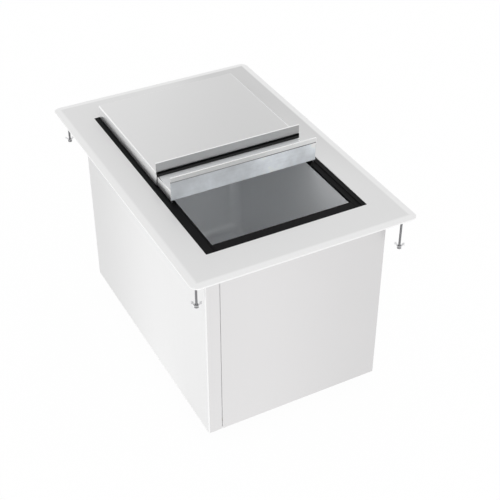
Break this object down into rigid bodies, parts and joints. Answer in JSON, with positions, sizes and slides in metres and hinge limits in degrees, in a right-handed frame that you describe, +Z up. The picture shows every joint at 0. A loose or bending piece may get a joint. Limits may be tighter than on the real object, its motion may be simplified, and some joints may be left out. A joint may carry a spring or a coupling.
{
  "type": "drop in ice bin",
  "caption": "Insulated stainless drop in ice bin with a wide worktop flange, nested sliding covers in a black track, a strained floor drain and hold down clamps under the flange.",
  "frame": {"origin": "on the vertical axis through the middle of the flange, at the height of the lowest point, the end of the drain tube", "axes": "+X to the right along the short front edge, +Y from the front edge to the back, +Z up"},
  "size_m": [0.42, 0.632, 0.4438],
  "materials": {
    "stainless_steel": "soft satin sheet, almost white in the light",
    "satin_steel": "brushed along the front edges",
    "black_plastic": "matt black",
    "black_rubber": "matt black",
    "insulation_foam": "rigid foam, matt",
    "zinc_plated_steel": "dull zinc plate"
  },
  "bodies": {
    "bin": {"top_flange": "stainless_steel", "liner_rim": "stainless_steel", "liner_wall": "stainless_steel", "liner_floor": "stainless_steel", "side_panel_left": "stainless_steel", "side_panel_right": "stainless_steel", "front_panel": "stainless_steel", "back_panel": "stainless_steel", "bottom_pan": "stainless_steel", "seam_cleat_front_left": "stainless_steel", "seam_cleat_front_right": "stainless_steel", "seam_cleat_back_left": "stainless_steel", "seam_cleat_back_right": "stainless_steel", "drain_body": "satin_steel", "drain_locknut": "satin_steel", "track_left": "black_plastic", "track_right": "black_plastic", "track_front": "black_plastic", "track_rear": "black_plastic", "drain_gasket": "black_rubber", "drain_washer": "black_rubber", "foam_front": "insulation_foam", "foam_back": "insulation_foam", "foam_left": "insulation_foam", "foam_right": "insulation_foam", "foam_base": "insulation_foam", "clamp_stud_front_left": "zinc_plated_steel", "clamp_stud_front_right": "zinc_plated_steel", "clamp_stud_back_left": "zinc_plated_steel", "clamp_stud_back_right": "zinc_plated_steel"},
    "rear_cover": {"rear_cover": "satin_steel", "rear_cover_lip": "satin_steel", "rear_lip_seal": "black_rubber", "rear_runner_left": "black_plastic", "rear_runner_right": "black_plastic"},
    "front_cover": {"front_cover": "satin_steel", "front_cover_fascia": "satin_steel", "front_runner_left": "black_plastic", "front_runner_right": "black_plastic"},
    "drain_strainer": {"drain_strainer": "satin_steel"},
    "clamp_nut_front_left": {"clamp_nut_front_left": "zinc_plated_steel"},
    "clamp_clip_front_left": {"clamp_clip_front_left": "zinc_plated_steel"},
    "clamp_nut_front_right": {"clamp_nut_front_right": "zinc_plated_steel"},
    "clamp_clip_front_right": {"clamp_clip_front_right": "zinc_plated_steel"},
    "clamp_nut_back_left": {"clamp_nut_back_left": "zinc_plated_steel"},
    "clamp_clip_back_left": {"clamp_clip_back_left": "zinc_plated_steel"},
    "clamp_nut_back_right": {"clamp_nut_back_right": "zinc_plated_steel"},
    "clamp_clip_back_right": {"clamp_clip_back_right": "zinc_plated_steel"}
  },
  "joints": [
    {"name": "front_cover_slide", "type": "slide", "parent": "bin", "child": "front_cover", "axis": [0, -1, 0], "range_m": [0, 0.153]},
    {"name": "rear_cover_slide", "type": "slide", "parent": "bin", "child": "rear_cover", "axis": [0, -1, 0], "range_m": [0, 0.05]},
    {"name": "strainer_lift", "type": "slide", "parent": "bin", "child": "drain_strainer", "axis": [0, 0, 1], "range_m": [0, 0.06]},
    {"name": "clamp_slide_front_left", "type": "slide", "parent": "bin", "child": "clamp_nut_front_left", "axis": [0, 0, 1], "range_m": [0, 0.045]},
    {"name": "clamp_turn_front_left", "type": "hinge", "parent": "clamp_nut_front_left", "child": "clamp_clip_front_left", "pos_m": [-0.1875, -0.278, 0.3263], "axis": [0, 0, 1], "range_deg": [-90, 90]},
    {"name": "clamp_slide_front_right", "type": "slide", "parent": "bin", "child": "clamp_nut_front_right", "axis": [0, 0, 1], "range_m": [0, 0.045]},
    {"name": "clamp_turn_front_right", "type": "hinge", "parent": "clamp_nut_front_right", "child": "clamp_clip_front_right", "pos_m": [0.1875, -0.2975, 0.3263], "axis": [0, 0, 1], "range_deg": [-90, 90]},
    {"name": "clamp_slide_back_left", "type": "slide", "parent": "bin", "child": "clamp_nut_back_left", "axis": [0, 0, 1], "range_m": [0, 0.045]},
    {"name": "clamp_turn_back_left", "type": "hinge", "parent": "clamp_nut_back_left", "child": "clamp_clip_back_left", "pos_m": [-0.1875, 0.2975, 0.3263], "axis": [0, 0, 1], "range_deg": [-90, 90]},
    {"name": "clamp_slide_back_right", "type": "slide", "parent": "bin", "child": "clamp_nut_back_right", "axis": [0, 0, 1], "range_m": [0, 0.045]},
    {"name": "clamp_turn_back_right", "type": "hinge", "parent": "clamp_nut_back_right", "child": "clamp_clip_back_right", "pos_m": [0.1875, 0.2975, 0.3263], "axis": [0, 0, 1], "range_deg": [-90, 90]}
  ]
}
